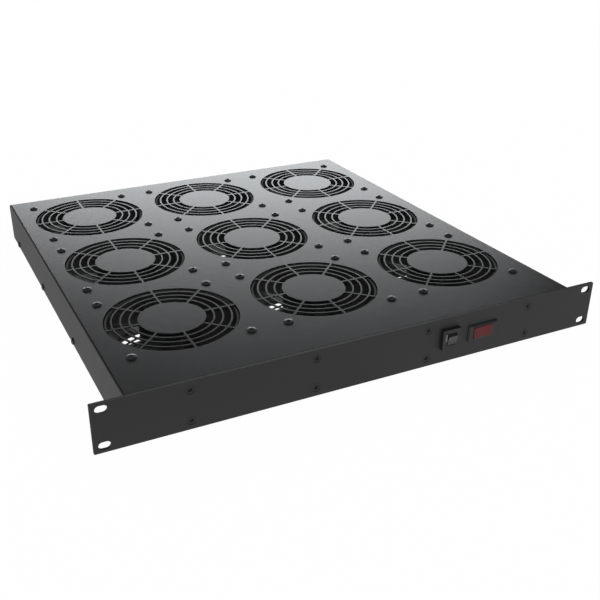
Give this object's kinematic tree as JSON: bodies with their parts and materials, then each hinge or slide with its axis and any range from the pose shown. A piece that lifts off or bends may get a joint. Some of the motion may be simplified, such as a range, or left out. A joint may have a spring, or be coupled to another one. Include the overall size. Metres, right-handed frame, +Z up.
{
  "type": "rack fan tray",
  "caption": "One-unit rack tray with axial fans under slotted ring grilles, a screwed front panel, a rocker switch, a red lamp and a rear mains inlet.",
  "frame": {"origin": "centre of the four rack slots on the front panel's front face", "axes": "+X right along the panel seen from the front, +Y into the rack, +Z up"},
  "size_m": [0.4826, 0.4766, 0.0447],
  "materials": {
    "panel_paint": "satin",
    "shell_paint": "satin",
    "black_screw": "satin",
    "zinc_steel": "satin",
    "cast_frame": "matte",
    "rotor_plastic": "matte",
    "shaft_steel": "polished",
    "winding": "satin",
    "bearing_steel": "polished",
    "switch_plastic": "gloss",
    "lamp_plastic": "gloss",
    "red_lens": "gloss",
    "lamp_glass": "gloss",
    "tab_brass": "satin",
    "inlet_plastic": "matte",
    "black_lead": "matte",
    "earth_lead": "matte"
  },
  "bodies": {
    "tray": {"front_panel": "panel_paint", "top_shell": "shell_paint", "bottom_cover": "shell_paint", "panel_screws": "black_screw", "panel_nuts": "zinc_steel", "cover_screws": "black_screw", "fan_screws": "black_screw", "m4_nuts": "zinc_steel", "switch_housing": "switch_plastic", "switch_terminals": "tab_brass", "lamp_housing": "lamp_plastic", "lamp_lens": "red_lens", "lamp_bulb": "lamp_glass", "lamp_terminals": "tab_brass", "inlet_body": "inlet_plastic", "inlet_pins": "tab_brass", "inlet_screws": "black_screw", "inlet_nuts": "zinc_steel", "mains_lead": "black_lead", "fan_harness": "black_lead", "earth_lead": "earth_lead", "earth_stud": "zinc_steel", "fan_bearings": "bearing_steel", "fan_1_frame": "cast_frame", "fan_1_stator": "winding", "fan_2_frame": "cast_frame", "fan_2_stator": "winding", "fan_3_frame": "cast_frame", "fan_3_stator": "winding", "fan_4_frame": "cast_frame", "fan_4_stator": "winding", "fan_5_frame": "cast_frame", "fan_5_stator": "winding", "fan_6_frame": "cast_frame", "fan_6_stator": "winding", "fan_7_frame": "cast_frame", "fan_7_stator": "winding", "fan_8_frame": "cast_frame", "fan_8_stator": "winding", "fan_9_frame": "cast_frame", "fan_9_stator": "winding"},
    "rotor_1": {"fan_1_impeller": "rotor_plastic", "fan_1_shaft": "shaft_steel"},
    "rotor_2": {"fan_2_impeller": "rotor_plastic", "fan_2_shaft": "shaft_steel"},
    "rotor_3": {"fan_3_impeller": "rotor_plastic", "fan_3_shaft": "shaft_steel"},
    "rotor_4": {"fan_4_impeller": "rotor_plastic", "fan_4_shaft": "shaft_steel"},
    "rotor_5": {"fan_5_impeller": "rotor_plastic", "fan_5_shaft": "shaft_steel"},
    "rotor_6": {"fan_6_impeller": "rotor_plastic", "fan_6_shaft": "shaft_steel"},
    "rotor_7": {"fan_7_impeller": "rotor_plastic", "fan_7_shaft": "shaft_steel"},
    "rotor_8": {"fan_8_impeller": "rotor_plastic", "fan_8_shaft": "shaft_steel"},
    "rotor_9": {"fan_9_impeller": "rotor_plastic", "fan_9_shaft": "shaft_steel"},
    "rocker": {"switch_rocker": "switch_plastic"}
  },
  "joints": [
    {"name": "fan_1_spin", "type": "hinge", "parent": "tray", "child": "rotor_1", "pos_m": [-0.1397, 0.1082, 0.0029], "axis": [0, 0, 1], "continuous": true},
    {"name": "fan_2_spin", "type": "hinge", "parent": "tray", "child": "rotor_2", "pos_m": [0, 0.1082, 0.0029], "axis": [0, 0, 1], "continuous": true},
    {"name": "fan_3_spin", "type": "hinge", "parent": "tray", "child": "rotor_3", "pos_m": [0.1397, 0.1082, 0.0029], "axis": [0, 0, 1], "continuous": true},
    {"name": "fan_4_spin", "type": "hinge", "parent": "tray", "child": "rotor_4", "pos_m": [-0.1397, 0.2479, 0.0029], "axis": [0, 0, 1], "continuous": true},
    {"name": "fan_5_spin", "type": "hinge", "parent": "tray", "child": "rotor_5", "pos_m": [0, 0.2479, 0.0029], "axis": [0, 0, 1], "continuous": true},
    {"name": "fan_6_spin", "type": "hinge", "parent": "tray", "child": "rotor_6", "pos_m": [0.1397, 0.2479, 0.0029], "axis": [0, 0, 1], "continuous": true},
    {"name": "fan_7_spin", "type": "hinge", "parent": "tray", "child": "rotor_7", "pos_m": [-0.1397, 0.3876, 0.0029], "axis": [0, 0, 1], "continuous": true},
    {"name": "fan_8_spin", "type": "hinge", "parent": "tray", "child": "rotor_8", "pos_m": [0, 0.3876, 0.0029], "axis": [0, 0, 1], "continuous": true},
    {"name": "fan_9_spin", "type": "hinge", "parent": "tray", "child": "rotor_9", "pos_m": [0.1397, 0.3876, 0.0029], "axis": [0, 0, 1], "continuous": true},
    {"name": "power_switch", "type": "hinge", "parent": "tray", "child": "rocker", "pos_m": [0.07795, -0.0016, 0.0016], "axis": [-1, 0, 0], "range_deg": [0, 24]}
  ]
}
